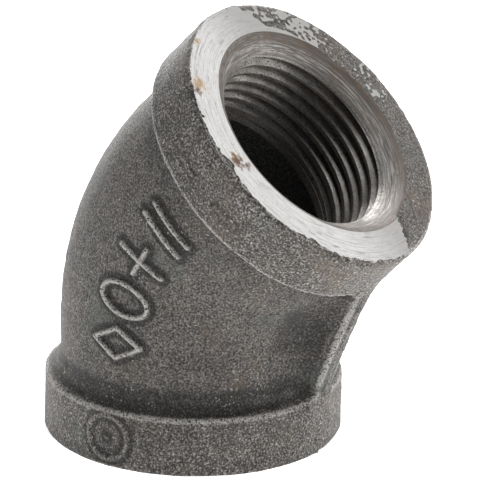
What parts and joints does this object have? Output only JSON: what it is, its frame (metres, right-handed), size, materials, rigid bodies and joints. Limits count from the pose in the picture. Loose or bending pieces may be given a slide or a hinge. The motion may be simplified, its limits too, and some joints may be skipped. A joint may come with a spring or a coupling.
{
  "type": "threaded 45 degree pipe elbow",
  "caption": "One-piece cast iron 45 degree elbow with banded ends, an internal taper pipe thread in each end and a web inside the bend.",
  "frame": {"origin": "centre of the lower port's end face", "axes": "+Z along the lower port's axis into the elbow, the upper port leans towards +X by 45 degrees, Y = 0 is the parting plane"},
  "size_m": [0.0505, 0.0389, 0.0561],
  "materials": {
    "cast_iron": "black as-cast skin with bare machined end faces, chamfers and threads"
  },
  "bodies": {
    "root": {"elbow_casting": "cast_iron"}
  },
  "joints": []
}
